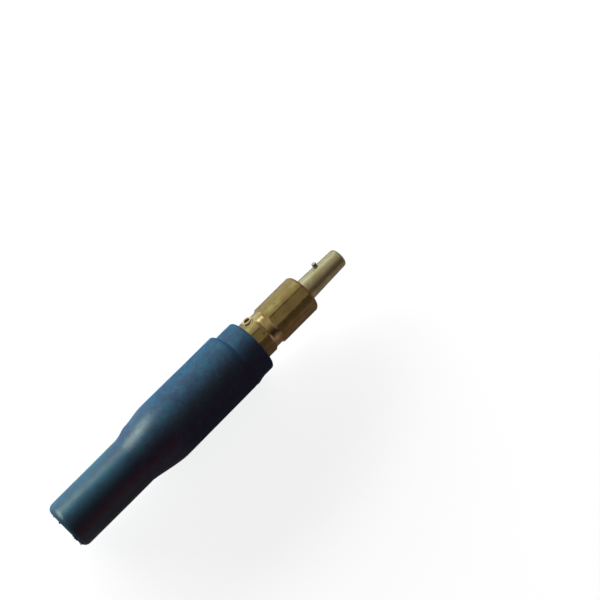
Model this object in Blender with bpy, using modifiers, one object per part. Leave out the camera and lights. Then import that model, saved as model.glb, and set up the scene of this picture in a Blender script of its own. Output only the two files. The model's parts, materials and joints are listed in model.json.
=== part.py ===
"""Insulated single-pole welding cable plug, lying on its side.

A contact turned from hexagonal brass bar ends in a round, slightly tapered pin. A steel dowel
stands out of the pin and locks it in the mating socket by a part turn. Behind the wrench flats a
drilled cable socket holds the cable's strands under a pressure strip and two set screws. A moulded
rubber sleeve, open at both ends, slides along the contact and closes in on the cable at its tail.

Units are metres and +Z is up. The plug lies along X with its pin towards +X. The origin is on the
surface that it lies on, below the middle of its length.
"""

import math

import bmesh
import bpy
from mathutils import Matrix, Vector

# Facets round a full turn, on the large turned pieces and on the small ones
ROUND_STEPS = 60
SOCKET_STEPS = 48
SMALL_STEPS = 24

# Facets along the rounded edges and eased steps of the turned outlines
FILLET_STEPS = 3
DOWEL_ROUND_STEPS = 4
EDGE_ROUND_STEPS = 6
TAIL_ROUND_STEPS = 8
SHOULDER_STEPS = 6
TAPER_STEPS = 12

# Contact, from the pin's tip to the end of the shank
PIN_LENGTH = 0.0274
PIN_BASE_RADIUS = 0.0062
PIN_TIP_RADIUS = 0.00535
PIN_TIP_ROUND = 0.0016
PIN_ROOT_FILLET = 0.0004
ACROSS_FLATS = 0.0214
TURNED_CORNER_RADIUS = 0.0111
FRONT_FLATS_LENGTH = 0.0260
GROOVE_WIDTH = 0.0036
GROOVE_RADIUS = 0.01025
SHANK_LENGTH = 0.0380
CHAMFER_LENGTH = 0.0013
CHAMFER_DEPTH = 0.0009

# Cable socket, drilled into the shank's end to just past the pressure strip
SOCKET_RADIUS = 0.0070
SOCKET_END_CLEARANCE = 0.0005
DRILL_POINT_ANGLE = math.radians(118)
SOCKET_MOUTH_CHAMFER = 0.0008

# Clamp screws, along one flat of the shank
SCREW_RADIUS = 0.0030
SCREW_LENGTH = 0.0060
SCREW_EDGE_CHAMFER = 0.0004
SCREW_POINT_LENGTH = 0.0010
SCREW_POINT_RADIUS = 0.0019
SCREW_KEY_ACROSS_FLATS = 0.0030
SCREW_KEY_DEPTH = 0.0030
SCREW_SETBACK = 0.0030
SCREW_SPACING = 0.0160
FRONT_SCREW_PROUD = 0.0010
REAR_SCREW_SUNK = 0.0008
THREAD_CLEARANCE = 0.0003

# Pressure strip between the screws' points and the cable
STRIP_THICKNESS = 0.0012
STRIP_WIDTH = 0.0072
STRIP_INNER_RADIUS = 0.0060
STRIP_OVERHANG = 0.0040
STRIP_CLEARANCE = 0.0003
STRIP_ARC_STEPS = 10

# Lock dowel, pressed into the side of the pin
DOWEL_RADIUS = 0.0013
DOWEL_FROM_SHOULDER = 0.0136
DOWEL_PROUD = 0.0023
DOWEL_DEPTH = 0.0087
DOWEL_END_ROUND = 0.0005
DOWEL_CLEARANCE = 0.00015

# Rubber sleeve, from its front rim to its tail
SLEEVE_LENGTH = 0.1292
COLLAR_LENGTH = 0.0125
COLLAR_RADIUS = 0.0154
COLLAR_ROUND = 0.0016
SHOULDER_LENGTH = 0.0026
BARREL_LENGTH = 0.0484
BARREL_RADIUS = 0.01685
TAPER_LENGTH = 0.0210
TAPER_FRONT_EASE = 0.0085
TAPER_REAR_EASE = 0.0040
TAIL_FRONT_RADIUS = 0.01345
TAIL_END_RADIUS = 0.01325
TAIL_ROUND = 0.0036
RIM_INNER_ROUND = 0.0006
BORE_TAPER_LENGTH = 0.0060
CABLE_BORE_RADIUS = 0.00825
CABLE_BORE_EDGE_ROUND = 0.0006
SLIDE_CLEARANCE = 0.0003
SLEEVE_SEAT_CLEARANCE = 0.0003
SLEEVE_STOP_GAP = 0.0017

# The screws and the dowel lean from straight up towards +Y by this angle
SCREW_SIDE_ANGLE = math.radians(45.9)

# Places along the plug's axis, counted from the contact's shoulder towards the pin's tip
GROOVE_FRONT = -FRONT_FLATS_LENGTH
SHANK_FRONT = GROOVE_FRONT - GROOVE_WIDTH
SHANK_END = SHANK_FRONT - SHANK_LENGTH
FRONT_SCREW_PLACE = SHANK_FRONT - SCREW_SETBACK
REAR_SCREW_PLACE = FRONT_SCREW_PLACE - SCREW_SPACING
SOCKET_BOTTOM = FRONT_SCREW_PLACE + STRIP_OVERHANG + SOCKET_END_CLEARANCE
SLEEVE_RIM = FRONT_SCREW_PLACE - SCREW_RADIUS - SLEEVE_STOP_GAP
SLEEVE_TAIL = SLEEVE_RIM - SLEEVE_LENGTH

# Distances from the plug's axis
FLAT_HEIGHT = ACROSS_FLATS / 2
FRONT_SCREW_TOP = FLAT_HEIGHT + FRONT_SCREW_PROUD
REAR_SCREW_TOP = FLAT_HEIGHT - REAR_SCREW_SUNK
SLEEVE_BORE_RADIUS = TURNED_CORNER_RADIUS + SLIDE_CLEARANCE
AXIS_HEIGHT = BARREL_RADIUS * math.cos(math.pi / ROUND_STEPS)

# The sleeve's wide bore takes the contact's whole body when the sleeve is pushed home
SLEEVE_BORE_DEPTH = -SHANK_END + SLEEVE_SEAT_CLEARANCE

# A cutter reaches past the surface that it cuts by this much
CUT_OVERRUN = 0.0020


def clear_scene():
    """Remove every object of the open scene."""
    for old in list(bpy.data.objects):
        bpy.data.objects.remove(old, do_unlink=True)


def make_collection(name):
    """Return a new collection, linked to the scene."""
    collection = bpy.data.collections.new(name)
    bpy.context.scene.collection.children.link(collection)
    return collection


def make_material(name, colour, roughness, metallic):
    """Return a Principled material in one colour."""
    material = bpy.data.materials.new(name)
    material.use_nodes = True
    shader = material.node_tree.nodes["Principled BSDF"]
    shader.inputs["Base Color"].default_value = (*colour, 1.0)
    shader.inputs["Roughness"].default_value = roughness
    shader.inputs["Metallic"].default_value = metallic
    material.diffuse_color = (*colour, 1.0)
    return material


def arc_points(centre, radii, start, end, steps):
    """Points of an elliptic arc in a profile's plane, from one angle in degrees to another."""
    points = []
    for step in range(steps + 1):
        angle = math.radians(start + (end - start) * step / steps)
        points.append((centre[0] + radii[0] * math.cos(angle), centre[1] + radii[1] * math.sin(angle)))
    return points


def ease_points(start, end, start_ease, end_ease, steps):
    """Points of a smooth step between two radii that leaves and arrives along the axis."""
    handles = (start, (start[0], start[1] - start_ease), (end[0], end[1] + end_ease), end)
    points = []
    for step in range(steps + 1):
        t = step / steps
        weights = ((1 - t) ** 3, 3 * t * (1 - t) ** 2, 3 * t**2 * (1 - t), t**3)
        points.append(tuple(sum(w * h[k] for w, h in zip(weights, handles)) for k in (0, 1)))
    return points


def turned_piece(name, profile, closed, steps, collection, parent):
    """Spin a profile of (radius, height) points, top to bottom, about the piece's own Z axis."""
    mesh = bpy.data.meshes.new(name)
    edges = [(i, i + 1) for i in range(len(profile) - 1)]
    if closed:
        edges.append((len(profile) - 1, 0))
    mesh.from_pydata([(radius, 0.0, height) for radius, height in profile], edges, [])
    piece = bpy.data.objects.new(name, mesh)
    collection.objects.link(piece)
    piece.parent = parent
    spin = piece.modifiers.new("turn", "SCREW")
    spin.axis = "Z"
    spin.steps = steps
    spin.render_steps = steps
    spin.use_merge_vertices = True
    spin.merge_threshold = 0.000001
    spin.use_smooth_shade = True
    return piece


def hide_cutter(cutter):
    """Keep a cutter out of the finished model."""
    cutter.hide_render = True
    cutter.display_type = "WIRE"


def drill(name, radius, length, steps, collection, parent):
    """A cutter from its origin up its own Z axis: a cylinder, or a prism if it has few steps."""
    mesh = bpy.data.meshes.new(name)
    shape = bmesh.new()
    bmesh.ops.create_cone(
        shape,
        cap_ends=True,
        cap_tris=False,
        segments=steps,
        radius1=radius,
        radius2=radius,
        depth=length,
        matrix=Matrix.Translation((0.0, 0.0, length / 2)),
    )
    shape.to_mesh(mesh)
    shape.free()
    cutter = bpy.data.objects.new(name, mesh)
    collection.objects.link(cutter)
    cutter.parent = parent
    hide_cutter(cutter)
    return cutter


def cut(piece, cutter, operation="DIFFERENCE"):
    """Cut a piece with a cutter, or keep only what lies inside it."""
    boolean = piece.modifiers.new(cutter.name, "BOOLEAN")
    boolean.operation = operation
    boolean.solver = "EXACT"
    boolean.object = cutter


def point_outward(piece, distance, place):
    """Stand a piece on the screw side: its own Z axis points away from the plug's axis."""
    piece.rotation_euler = (0.0, math.pi / 2, 0.0)
    piece.location = (distance, 0.0, place)


def pin_radius(place):
    """Radius of the tapered pin at a place along the axis."""
    return PIN_BASE_RADIUS + (PIN_TIP_RADIUS - PIN_BASE_RADIUS) * place / PIN_LENGTH


def contact_profile():
    """Half outline of the turned contact, from the tip's centre down to the shank's end."""
    corner = TURNED_CORNER_RADIUS
    face = corner - CHAMFER_DEPTH
    tip = (PIN_TIP_RADIUS - PIN_TIP_ROUND, PIN_LENGTH - PIN_TIP_ROUND)
    root = (PIN_BASE_RADIUS + PIN_ROOT_FILLET, PIN_ROOT_FILLET)
    profile = [(0.0, PIN_LENGTH)]
    profile += arc_points(tip, (PIN_TIP_ROUND,) * 2, 90, 0, EDGE_ROUND_STEPS)
    profile += arc_points(root, (PIN_ROOT_FILLET,) * 2, 180, 270, FILLET_STEPS)
    profile += [(face, 0.0), (corner, -CHAMFER_LENGTH)]
    profile += [(corner, GROOVE_FRONT + CHAMFER_LENGTH), (GROOVE_RADIUS, GROOVE_FRONT)]
    profile += [(GROOVE_RADIUS, SHANK_FRONT), (corner, SHANK_FRONT - CHAMFER_LENGTH)]
    profile += [(corner, SHANK_END + CHAMFER_LENGTH), (face, SHANK_END), (0.0, SHANK_END)]
    return profile


def socket_profile():
    """Half outline of the stepped drill that makes the cable socket, from its point down."""
    point_length = SOCKET_RADIUS / math.tan(DRILL_POINT_ANGLE / 2)
    mouth_radius = SOCKET_RADIUS + SOCKET_MOUTH_CHAMFER
    return [
        (0.0, SOCKET_BOTTOM + point_length),
        (SOCKET_RADIUS, SOCKET_BOTTOM),
        (SOCKET_RADIUS, SHANK_END + SOCKET_MOUTH_CHAMFER),
        (mouth_radius, SHANK_END),
        (mouth_radius, SHANK_END - CUT_OVERRUN),
        (0.0, SHANK_END - CUT_OVERRUN),
    ]


def build_contact(parts, cutters, axis, brass):
    """Turn the contact, then cut its flats, cable socket, screw holes and dowel hole."""
    contact = turned_piece("contact_body", contact_profile(), False, ROUND_STEPS, parts, axis)

    corner_radius = FLAT_HEIGHT / math.cos(math.pi / 6)
    bar_length = SHANK_LENGTH + GROOVE_WIDTH + FRONT_FLATS_LENGTH + PIN_LENGTH + 2 * CUT_OVERRUN
    bar = drill("hexagon_bar", corner_radius, bar_length, 6, cutters, axis)
    bar.location.z = SHANK_END - CUT_OVERRUN
    cut(contact, bar, "INTERSECT")

    socket = turned_piece("socket_drill", socket_profile(), False, SOCKET_STEPS, cutters, axis)
    hide_cutter(socket)
    cut(contact, socket)

    hole_radius = SCREW_RADIUS + THREAD_CLEARANCE
    for name, place in (("front", FRONT_SCREW_PLACE), ("rear", REAR_SCREW_PLACE)):
        hole_length = FLAT_HEIGHT + CUT_OVERRUN
        hole = drill(f"{name}_screw_hole", hole_radius, hole_length, SMALL_STEPS, cutters, axis)
        point_outward(hole, 0.0, place)
        cut(contact, hole)

    dowel_hole_radius = DOWEL_RADIUS + DOWEL_CLEARANCE
    dowel_hole_length = DOWEL_DEPTH + DOWEL_CLEARANCE + CUT_OVERRUN
    dowel_hole = drill("dowel_hole", dowel_hole_radius, dowel_hole_length, SMALL_STEPS, cutters, axis)
    surface = pin_radius(DOWEL_FROM_SHOULDER)
    point_outward(dowel_hole, surface - DOWEL_DEPTH - DOWEL_CLEARANCE, DOWEL_FROM_SHOULDER)
    cut(contact, dowel_hole)

    contact.data.materials.append(brass)
    return contact


def build_dowel(parts, axis, steel):
    """The lock dowel, a plain pin with rounded ends."""
    length = DOWEL_DEPTH + DOWEL_PROUD
    top = (DOWEL_RADIUS - DOWEL_END_ROUND, length - DOWEL_END_ROUND)
    foot = (DOWEL_RADIUS - DOWEL_END_ROUND, DOWEL_END_ROUND)
    round_size = (DOWEL_END_ROUND,) * 2
    profile = [(0.0, length)]
    profile += arc_points(top, round_size, 90, 0, DOWEL_ROUND_STEPS)
    profile += arc_points(foot, round_size, 0, -90, DOWEL_ROUND_STEPS)
    profile += [(0.0, 0.0)]
    dowel = turned_piece("lock_dowel", profile, False, SMALL_STEPS, parts, axis)
    point_outward(dowel, pin_radius(DOWEL_FROM_SHOULDER) - DOWEL_DEPTH, DOWEL_FROM_SHOULDER)
    dowel.data.materials.append(steel)
    return dowel


def build_screw(name, top, place, parts, cutters, axis, steel):
    """One set screw with a chamfered top, a hexagonal key hole and a flat point."""
    profile = [
        (0.0, SCREW_LENGTH),
        (SCREW_RADIUS - SCREW_EDGE_CHAMFER, SCREW_LENGTH),
        (SCREW_RADIUS, SCREW_LENGTH - SCREW_EDGE_CHAMFER),
        (SCREW_RADIUS, SCREW_POINT_LENGTH),
        (SCREW_POINT_RADIUS, 0.0),
        (0.0, 0.0),
    ]
    screw = turned_piece(name, profile, False, SMALL_STEPS, parts, axis)
    point_outward(screw, top - SCREW_LENGTH, place)
    key_radius = SCREW_KEY_ACROSS_FLATS / 2 / math.cos(math.pi / 6)
    key_length = SCREW_KEY_DEPTH + CUT_OVERRUN
    key = drill(f"{name}_key", key_radius, key_length, 6, cutters, axis)
    point_outward(key, top - SCREW_KEY_DEPTH, place)
    cut(screw, key)
    screw.data.materials.append(steel)
    return screw


def build_strip(parts, axis, copper):
    """The pressure strip: an arched plate, tilted so that it lies under both screws' points."""
    half_angle = math.asin(STRIP_WIDTH / 2 / (STRIP_INNER_RADIUS + STRIP_THICKNESS))
    length = SCREW_SPACING + 2 * STRIP_OVERHANG
    mesh = bpy.data.meshes.new("pressure_strip")
    shape = bmesh.new()
    points = []
    for step in range(STRIP_ARC_STEPS + 1):
        angle = half_angle * (2 * step / STRIP_ARC_STEPS - 1)
        points.append(
            shape.verts.new(
                (
                    STRIP_INNER_RADIUS * (math.cos(angle) - 1) - STRIP_THICKNESS,
                    STRIP_INNER_RADIUS * math.sin(angle),
                    -length / 2,
                )
            )
        )
    edges = [shape.edges.new(pair) for pair in zip(points, points[1:])]
    swept = bmesh.ops.extrude_edge_only(shape, edges=edges)
    moved = [item for item in swept["geom"] if isinstance(item, bmesh.types.BMVert)]
    bmesh.ops.translate(shape, verts=moved, vec=(0.0, 0.0, length))
    bmesh.ops.recalc_face_normals(shape, faces=shape.faces)
    if shape.faces[0].normal.x < 0:
        bmesh.ops.reverse_faces(shape, faces=shape.faces)
    shape.to_mesh(mesh)
    shape.free()
    strip = bpy.data.objects.new("pressure_strip", mesh)
    parts.objects.link(strip)
    strip.parent = axis
    front_height = FRONT_SCREW_TOP - SCREW_LENGTH - STRIP_CLEARANCE
    rear_height = REAR_SCREW_TOP - SCREW_LENGTH - STRIP_CLEARANCE
    tilt = math.atan2(front_height - rear_height, SCREW_SPACING)
    strip.rotation_euler = (0.0, tilt, 0.0)
    middle = (FRONT_SCREW_PLACE + REAR_SCREW_PLACE) / 2
    point_sweep = SCREW_POINT_RADIUS * math.sin(tilt)
    strip.location = ((front_height + rear_height) / 2 - point_sweep, 0.0, middle)
    wall = strip.modifiers.new("wall", "SOLIDIFY")
    wall.thickness = STRIP_THICKNESS
    wall.offset = 1.0
    strip.data.materials.append(copper)
    return strip


def sleeve_profile():
    """Closed half outline of the sleeve's wall: down the outside, then back up its bores."""
    rim = SLEEVE_LENGTH
    shoulder = rim - COLLAR_LENGTH
    barrel_front = shoulder - SHOULDER_LENGTH
    taper_front = barrel_front - BARREL_LENGTH
    taper_end = taper_front - TAPER_LENGTH
    bore_end = rim - SLEEVE_BORE_DEPTH
    bore = SLEEVE_BORE_RADIUS
    cable_bore = CABLE_BORE_RADIUS
    collar_round = (COLLAR_RADIUS - COLLAR_ROUND, rim - COLLAR_ROUND)
    tail_round = (TAIL_END_RADIUS - TAIL_ROUND, TAIL_ROUND)
    tail_edge = (cable_bore + CABLE_BORE_EDGE_ROUND, CABLE_BORE_EDGE_ROUND)
    rim_edge = (bore + RIM_INNER_ROUND, rim - RIM_INNER_ROUND)
    half_step = SHOULDER_LENGTH / 2
    step_start = (COLLAR_RADIUS, shoulder)
    step_end = (BARREL_RADIUS, barrel_front)
    taper_start = (BARREL_RADIUS, taper_front)
    taper_stop = (TAIL_FRONT_RADIUS, taper_end)
    profile = arc_points(collar_round, (COLLAR_ROUND,) * 2, 90, 0, EDGE_ROUND_STEPS)
    profile += ease_points(step_start, step_end, half_step, half_step, SHOULDER_STEPS)
    profile += ease_points(taper_start, taper_stop, TAPER_FRONT_EASE, TAPER_REAR_EASE, TAPER_STEPS)
    profile += arc_points(tail_round, (TAIL_ROUND,) * 2, 0, -90, TAIL_ROUND_STEPS)
    profile += arc_points(tail_edge, (CABLE_BORE_EDGE_ROUND,) * 2, 270, 180, FILLET_STEPS)
    profile += [(cable_bore, bore_end - BORE_TAPER_LENGTH), (bore, bore_end)]
    profile += arc_points(rim_edge, (RIM_INNER_ROUND,) * 2, 180, 90, FILLET_STEPS)
    return profile


def build_sleeve(parts, axis, rubber):
    """The moulded sleeve, turned so that a facet of its barrel lies flat on the surface."""
    sleeve = turned_piece("insulating_sleeve", sleeve_profile(), True, ROUND_STEPS, parts, axis)
    sleeve.location.z = SLEEVE_TAIL
    sleeve.rotation_euler.z = SCREW_SIDE_ANGLE - math.pi / ROUND_STEPS
    sleeve.data.materials.append(rubber)
    return sleeve


def plug_axis(parts):
    """The empty that carries the plug: its Z runs to the pin's tip, its X towards the screws' side."""
    axis = bpy.data.objects.new("plug_axis", None)
    parts.objects.link(axis)
    centre = (PIN_LENGTH + SLEEVE_TAIL) / 2
    lying = Matrix.Rotation(-math.pi / 2, 4, "Y") @ Matrix.Rotation(math.pi, 4, "X")
    rolled = Matrix.Rotation(-SCREW_SIDE_ANGLE, 4, "X") @ lying
    axis.matrix_world = Matrix.Translation(Vector((-centre, 0.0, AXIS_HEIGHT))) @ rolled
    return axis


def main():
    """Build the plug."""
    clear_scene()
    parts = make_collection("welding_cable_plug")
    cutters = make_collection("cutters")
    brass = make_material("brass", (0.42, 0.31, 0.13), 0.32, 1.0)
    steel = make_material("steel", (0.36, 0.37, 0.36), 0.35, 1.0)
    copper = make_material("copper", (0.60, 0.30, 0.18), 0.35, 1.0)
    rubber = make_material("blue_rubber", (0.02, 0.07, 0.13), 0.55, 0.0)

    axis = plug_axis(parts)
    build_contact(parts, cutters, axis, brass)
    build_dowel(parts, axis, steel)
    build_screw("clamp_screw_front", FRONT_SCREW_TOP, FRONT_SCREW_PLACE, parts, cutters, axis, steel)
    build_screw("clamp_screw_rear", REAR_SCREW_TOP, REAR_SCREW_PLACE, parts, cutters, axis, steel)
    build_strip(parts, axis, copper)
    build_sleeve(parts, axis, rubber)
    bpy.context.view_layer.update()


main()
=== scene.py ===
"""Looks of the insulated single-pole welding cable plug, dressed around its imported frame.

The plug lies along X with its pin towards +X. Every piece is modelled with bmesh in the plug's own
frame, where Z runs along the axis to the pin's tip and X points to the screws' side, and is then
placed in the row frame. Sizes are in metres.
"""

from __future__ import annotations

import json
import logging
import math
from collections.abc import Callable, Iterable
from dataclasses import dataclass
from enum import Enum

import bmesh
import bpy
from mathutils import Matrix, Vector, noise

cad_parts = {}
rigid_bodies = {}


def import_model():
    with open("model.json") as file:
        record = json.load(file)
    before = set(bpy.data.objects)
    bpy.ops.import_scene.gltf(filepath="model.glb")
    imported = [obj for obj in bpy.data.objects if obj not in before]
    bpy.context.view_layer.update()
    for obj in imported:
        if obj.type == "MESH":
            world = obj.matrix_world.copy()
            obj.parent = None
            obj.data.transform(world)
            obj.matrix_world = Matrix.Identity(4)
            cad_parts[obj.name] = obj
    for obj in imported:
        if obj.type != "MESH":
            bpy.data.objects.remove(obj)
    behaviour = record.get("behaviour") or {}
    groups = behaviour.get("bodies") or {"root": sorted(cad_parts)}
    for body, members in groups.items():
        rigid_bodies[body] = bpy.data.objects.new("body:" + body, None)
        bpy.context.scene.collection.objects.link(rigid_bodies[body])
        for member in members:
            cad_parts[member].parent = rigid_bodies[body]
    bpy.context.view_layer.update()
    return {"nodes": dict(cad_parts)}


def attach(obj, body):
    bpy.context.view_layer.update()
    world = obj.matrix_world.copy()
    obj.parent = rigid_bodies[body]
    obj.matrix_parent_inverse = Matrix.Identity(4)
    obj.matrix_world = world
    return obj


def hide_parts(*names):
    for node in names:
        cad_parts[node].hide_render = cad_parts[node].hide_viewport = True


LOG = logging.getLogger("welding_cable_plug")
Point = tuple[float, float]
Colour = tuple[float, float, float]
Socket = bpy.types.NodeSocket
Fed = Socket | float | Colour
Stops = tuple[tuple[float, Colour], ...]

# Points closer than this are one point.
MERGE = 1e-7
# The angle in degrees above which a piece's edges stay sharp, unless it says otherwise.
SHARP = 32.0
HEXAGON = 6
# What the camera, gloss and glass see, and not what lights the plug.
SEEN = ("Is Camera Ray", "Is Glossy Ray", "Is Transmission Ray")
# The part of a noise pattern's range that most of its values are in.
MIDDLE: Point = (0.3, 0.7)


class Body(Enum):
    """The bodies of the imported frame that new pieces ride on."""

    CONTACT = "contact"
    SLEEVE = "sleeve"
    FRONT_SCREW = "front_screw"
    REAR_SCREW = "rear_screw"


class Slot(Enum):
    """The record's material slots."""

    RUBBER = "blue_rubber"
    BRASS = "brass"
    STEEL = "steel"
    COPPER = "copper"


class Mixed(Enum):
    """What a Mix node mixes: its data type, and the places of its first input and its output."""

    NUMBERS = ("FLOAT", 2, 0)
    COLOURS = ("RGBA", 6, 2)


@dataclass(frozen=True)
class PlugAxis:
    """Where the plug's axis lies in the row frame.

    The shoulder is the hexagon's end at the foot of the pin. Places along the axis are counted from
    it towards the pin's tip, as in the part's source.
    """

    shoulder: float = 0.06955
    height: float = 0.016827
    screw_side: float = math.radians(45.9)

    def matrix(self) -> Matrix:
        """Place the plug.

        Returns:
            The matrix from the plug's own frame to the row frame.
        """
        side, up = math.sin(self.screw_side), math.cos(self.screw_side)
        axes = Matrix(((0.0, 0.0, 1.0), (side, -up, 0.0), (up, side, 0.0))).to_4x4()
        return Matrix.Translation((self.shoulder, 0.0, self.height)) @ axes

    def outward(self, distance: float, place: float) -> Matrix:
        """Return the matrix that stands a piece on the screws' side, with its Z away from the axis."""
        standing = Matrix.Translation((distance, 0.0, place)) @ Matrix.Rotation(math.pi / 2, 4, "Y")
        return self.matrix() @ standing


AXIS = PlugAxis()


class Outline:
    """A half outline of (radius, height) points that grows as it is drawn."""

    def __init__(self, radius: float, height: float) -> None:
        """Start at one point."""
        self.points: list[Point] = [(radius, height)]

    def to(self, radius: float, height: float, steps: int = 1) -> Outline:
        """Draw a straight run.

        Args:
            radius: The radius at its end.
            height: The height at its end.
            steps: How many equal chords it is cut into.

        Returns:
            The outline itself.
        """
        start = self.points[-1]
        for step in range(1, steps + 1):
            t = step / steps
            self.points.append((start[0] + (radius - start[0]) * t, start[1] + (height - start[1]) * t))
        return self

    def arc(self, centre: Point, radius: float, start: float, end: float, steps: int = 6) -> Outline:
        """Draw an arc.

        Args:
            centre: The arc's centre.
            radius: Its radius.
            start: The angle that it starts at, in degrees.
            end: The angle that it ends at, in degrees.
            steps: How many chords it has.

        Returns:
            The outline itself.
        """
        for step in range(steps + 1):
            angle = math.radians(start + (end - start) * step / steps)
            point = (centre[0] + radius * math.cos(angle), centre[1] + radius * math.sin(angle))
            if math.dist(point, self.points[-1]) > MERGE:
                self.points.append(point)
        return self

    def ease(self, end: Point, start_ease: float, end_ease: float, steps: int) -> Outline:
        """Draw a smooth step that leaves and arrives along the axis, downwards.

        Args:
            end: The point that it arrives at.
            start_ease: How far it keeps to its first direction.
            end_ease: How long before its end it has its last direction.
            steps: How many chords it has.

        Returns:
            The outline itself.
        """
        start = self.points[-1]
        handles = (start, (start[0], start[1] - start_ease), (end[0], end[1] + end_ease), end)
        for step in range(1, steps + 1):
            t = step / steps
            weights = ((1 - t) ** 3, 3 * t * (1 - t) ** 2, 3 * t**2 * (1 - t), t**3)
            radius, height = (sum(w * h[k] for w, h in zip(weights, handles)) for k in (0, 1))
            self.points.append((radius, height))
        return self


def smooth_share(value: float, low: float, high: float) -> float:
    """Return how far a value is on its way from low to high, from 0 to 1 with smooth ends."""
    share = min(1.0, max(0.0, (value - low) / (high - low)))
    return share * share * (3.0 - 2.0 * share)


def spin(
    shape: bmesh.types.BMesh,
    parts: list[bmesh.types.BMVert | bmesh.types.BMEdge | bmesh.types.BMFace],
    angle: float,
    steps: int,
    rise: float = 0.0,
    full: bool = False,
) -> None:
    """Sweep parts of a shape about Z.

    Args:
        shape: The shape.
        parts: What is swept.
        angle: How far it turns in all.
        steps: How many facets that takes.
        rise: How far it climbs at each facet.
        full: Whether it ends where it began.
    """
    bmesh.ops.spin(
        shape,
        geom=parts,
        cent=(0.0, 0.0, 0.0),
        axis=(0.0, 0.0, 1.0),
        dvec=(0.0, 0.0, rise),
        angle=angle,
        steps=steps,
        use_merge=full,
        use_duplicate=False,
    )


def turned(outline: Outline, steps: int, closed: bool = False) -> bmesh.types.BMesh:
    """Spin a half outline about Z.

    Args:
        outline: The outline, from the axis back to the axis unless it is closed.
        steps: How many facets go round.
        closed: Whether its last point joins its first, as round a tube's wall.

    Returns:
        A closed shape with its faces pointing out.
    """
    shape = bmesh.new()
    verts = [shape.verts.new((radius, 0.0, height)) for radius, height in outline.points]
    edges = [shape.edges.new(pair) for pair in zip(verts, verts[1:])]
    if closed:
        edges.append(shape.edges.new((verts[-1], verts[0])))
    spin(shape, verts + edges, math.tau, steps, full=True)
    bmesh.ops.remove_doubles(shape, verts=shape.verts, dist=MERGE)
    bmesh.ops.recalc_face_normals(shape, faces=shape.faces)
    return shape


def bevel(
    shape: bmesh.types.BMesh,
    edges: list[bmesh.types.BMEdge],
    width: float,
    segments: int,
) -> None:
    """Round some edges of a shape.

    Args:
        shape: The shape.
        edges: The edges.
        width: How wide the rounding is.
        segments: How many faces go across it.
    """
    bmesh.ops.bevel(
        shape,
        geom=edges,
        offset=width,
        offset_type="OFFSET",
        affect="EDGES",
        segments=segments,
        profile=0.5,
        material=-1,
        clamp_overlap=True,
    )


def mesh_object(
    name: str,
    shape: bmesh.types.BMesh,
    matrix: Matrix,
    sharp: float = SHARP,
) -> bpy.types.Object:
    """Make an object of a shape, with its place in its mesh.

    Args:
        name: The object's name.
        shape: The shape, which is freed.
        matrix: From the shape's own frame to the row frame.
        sharp: The angle in degrees above which an edge stays sharp.

    Returns:
        The object, at the origin.
    """
    bmesh.ops.transform(shape, matrix=matrix, verts=shape.verts)
    for face in shape.faces:
        face.smooth = True
    mesh = bpy.data.meshes.new(name)
    shape.to_mesh(mesh)
    shape.free()
    mesh.set_sharp_from_angle(angle=math.radians(sharp))
    made = bpy.data.objects.new(name, mesh)
    bpy.context.scene.collection.objects.link(made)
    return made


def carve(piece: bpy.types.Object, cutter: bpy.types.Object) -> None:
    """Cut a piece with another object, which is then removed.

    Args:
        piece: The piece that is cut.
        cutter: The cutter.
    """
    boolean = piece.modifiers.new("carve", "BOOLEAN")
    boolean.operation = "DIFFERENCE"
    boolean.solver = "MANIFOLD"
    boolean.object = cutter
    bpy.context.view_layer.update()
    graph = bpy.context.evaluated_depsgraph_get()
    carved = bpy.data.meshes.new_from_object(piece.evaluated_get(graph))
    carved.materials.clear()
    piece.modifiers.clear()
    old = piece.data
    piece.data = carved
    bpy.data.meshes.remove(old)
    bpy.data.objects.remove(cutter, do_unlink=True)


def settle(piece: bpy.types.Object, sharp: float = SHARP) -> None:
    """Merge what a cut left double, shade the piece smooth and weight its normals.

    Args:
        piece: The piece.
        sharp: The angle in degrees above which an edge stays sharp.
    """
    shape = bmesh.new()
    shape.from_mesh(piece.data)
    bmesh.ops.remove_doubles(shape, verts=shape.verts, dist=MERGE)
    for face in shape.faces:
        face.smooth = True
    shape.to_mesh(piece.data)
    shape.free()
    piece.data.set_sharp_from_angle(angle=math.radians(sharp))
    weighted = piece.modifiers.new("weighted_normals", "WEIGHTED_NORMAL")
    weighted.keep_sharp = True


def log_piece(piece: bpy.types.Object) -> None:
    """Report a finished piece."""
    LOG.info("%s: %d faces", piece.name, len(piece.data.polygons))


def saw(shape: bmesh.types.BMesh, point: Vector, normal: Vector) -> None:
    """Cut off what lies beyond a plane, and close the cut.

    Args:
        shape: The shape that is cut.
        point: A point on the plane.
        normal: The way to the side that is cut off.
    """
    cut = bmesh.ops.bisect_plane(
        shape,
        geom=list(shape.verts) + list(shape.edges) + list(shape.faces),
        dist=MERGE,
        plane_co=point,
        plane_no=normal,
        clear_outer=True,
    )
    rim = [item for item in cut["geom_cut"] if isinstance(item, bmesh.types.BMEdge)]
    bmesh.ops.holes_fill(shape, edges=rim, sides=0)


@dataclass(frozen=True)
class Pattern:
    """A noise pattern, in features a metre, and how its values are spread.

    A value up to the first of the shown pair gives the first level, a value from the second on gives
    the second level, and the way between them is smooth. With no shown pair the values stay plain.
    """

    scale: float
    detail: float
    rough: float
    shown: Point | None = None
    levels: Point = (0.0, 1.0)
    stretch: Colour | None = None


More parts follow.
